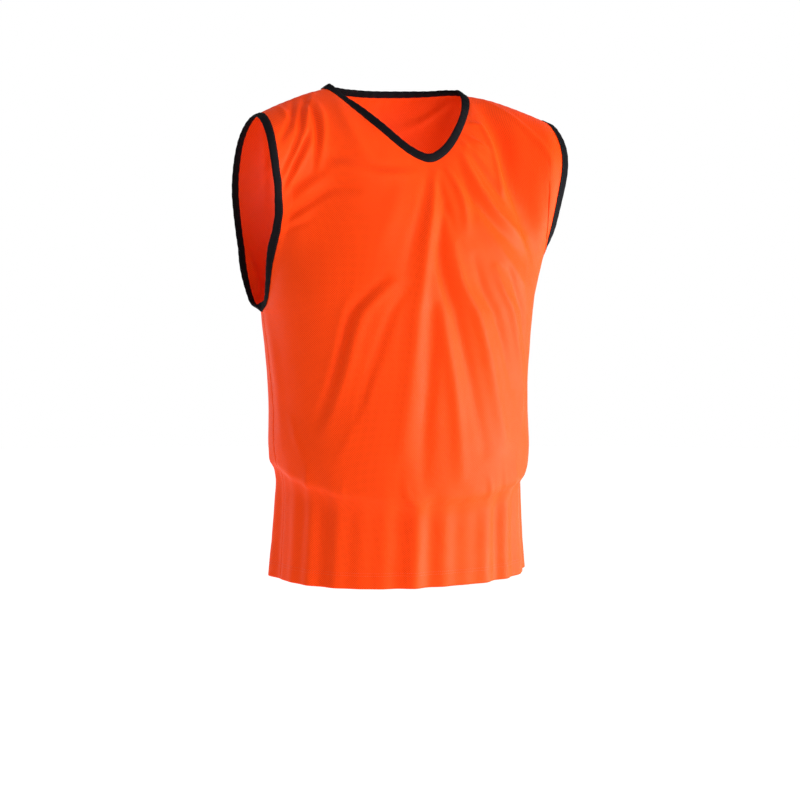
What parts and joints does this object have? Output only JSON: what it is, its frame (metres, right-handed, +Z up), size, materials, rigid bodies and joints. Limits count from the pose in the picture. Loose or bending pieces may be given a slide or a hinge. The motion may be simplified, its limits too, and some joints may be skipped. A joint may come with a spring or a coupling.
{
  "type": "mesh training bib",
  "caption": "Sleeveless pull-over training bib of thin mesh with taped V neck and armholes, in its worn, tucked-in hollow form with open neck, armholes and hem.",
  "frame": {"origin": "midway between the two shoulder seams at their middle height, where the wearer's shoulders carry the bib", "axes": "+Z up, the front faces -Y, the wearer's left is +X"},
  "size_m": [0.412, 0.2478, 0.6065],
  "materials": {
    "mesh_cloth": "fine satin polyester mesh, orange",
    "binding_tape": "matt knitted tape, black"
  },
  "bodies": {
    "root": {"front_panel": "mesh_cloth", "back_panel": "mesh_cloth", "neck_binding": "binding_tape", "armhole_binding_right": "binding_tape", "armhole_binding_left": "binding_tape"}
  },
  "joints": []
}
